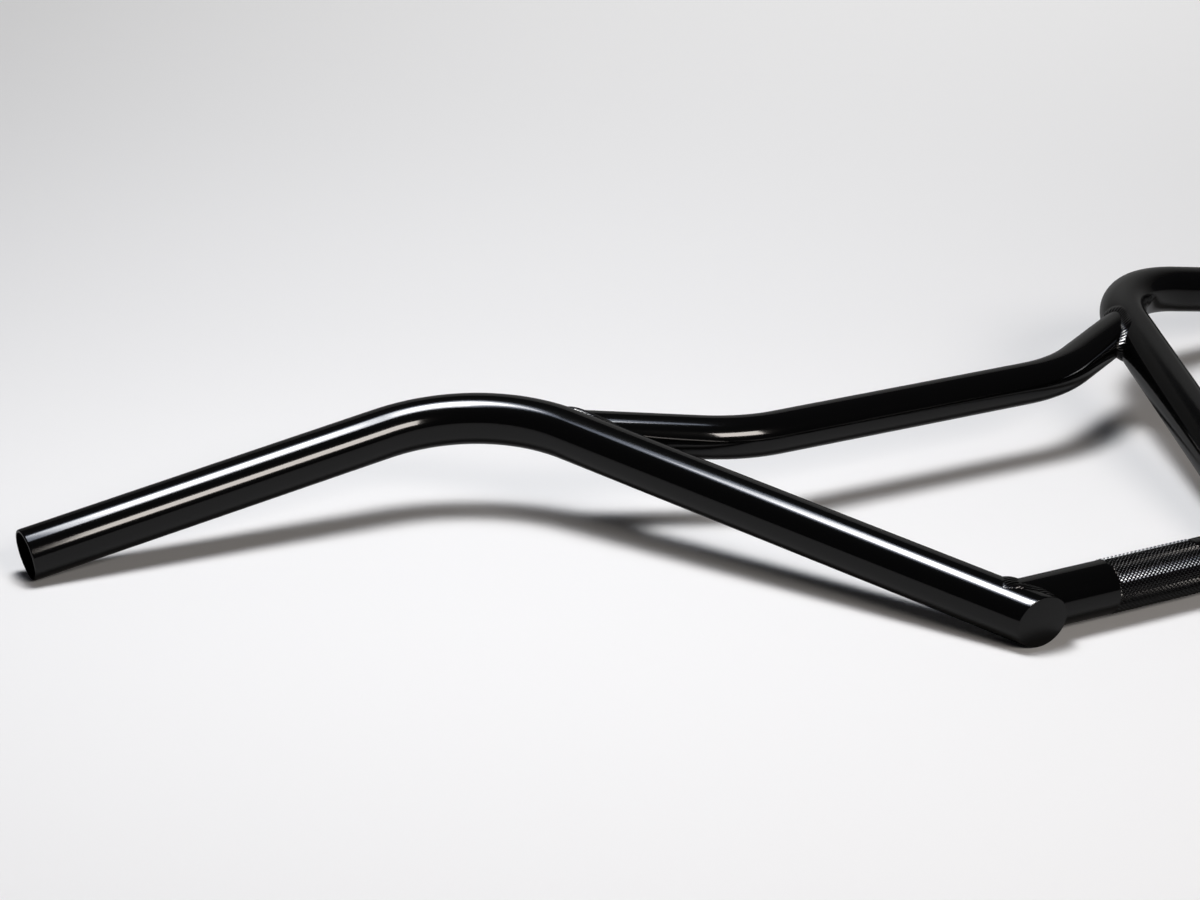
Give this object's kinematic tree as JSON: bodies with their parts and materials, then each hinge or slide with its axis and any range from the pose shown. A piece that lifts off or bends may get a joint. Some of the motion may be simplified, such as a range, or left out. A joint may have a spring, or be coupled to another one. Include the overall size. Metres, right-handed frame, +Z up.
{
  "type": "bmx handlebar",
  "caption": "Welded steel BMX handlebar with bent leg-and-grip tubes, a straight clamp tube that the stem holds, a bent crossbar and capped feet; it steers the bicycle.",
  "frame": {"origin": "middle of the clamp tube, on its axis", "axes": "+X along the clamp tube to the rider's left; +Y level, towards the grips as the bar lies; +Z up, the side that faces the front of the bicycle"},
  "size_m": [0.7656, 0.2816, 0.0539],
  "materials": {
    "bar_tubes": "gloss",
    "crossbar": "gloss",
    "clamp_tube": "gloss",
    "end_caps": "gloss",
    "welds": "gloss"
  },
  "bodies": {
    "root": {"right_bar_tube": "bar_tubes", "left_bar_tube": "bar_tubes", "end_caps": "end_caps", "clamp_tube": "clamp_tube", "crossbar": "crossbar", "clamp_welds": "welds", "crossbar_welds": "welds"}
  },
  "joints": []
}
